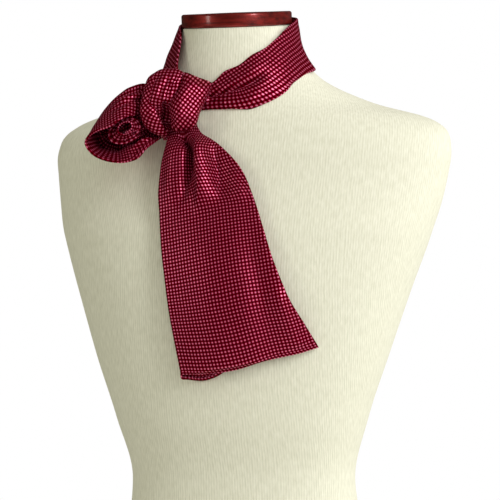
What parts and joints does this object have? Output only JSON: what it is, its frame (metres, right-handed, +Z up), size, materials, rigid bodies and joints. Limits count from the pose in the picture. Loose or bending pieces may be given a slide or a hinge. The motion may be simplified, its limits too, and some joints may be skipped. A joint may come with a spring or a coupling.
{
  "type": "silk cravat on a dress form",
  "caption": "Silk gingham cravat tied as a half bow with one hanging tail round the neck of a limbless cream dress form with a wooden neck cap.",
  "frame": {"origin": "middle of the dress form's flat base", "axes": "+Z up; the form faces -Y, and the figure's left is +X"},
  "size_m": [0.415, 0.271, 0.6693],
  "materials": {
    "silk_gingham": "woven silk with a soft sheen",
    "jersey_cover": "matt cotton jersey",
    "mahogany": "turned and varnished"
  },
  "bodies": {
    "root": {"form_body": "jersey_cover", "neck_cap": "mahogany", "neck_band": "silk_gingham", "knot_right": "silk_gingham", "knot_left": "silk_gingham", "bow_loop": "silk_gingham", "inner_curl": "silk_gingham", "tail": "silk_gingham"}
  },
  "joints": []
}
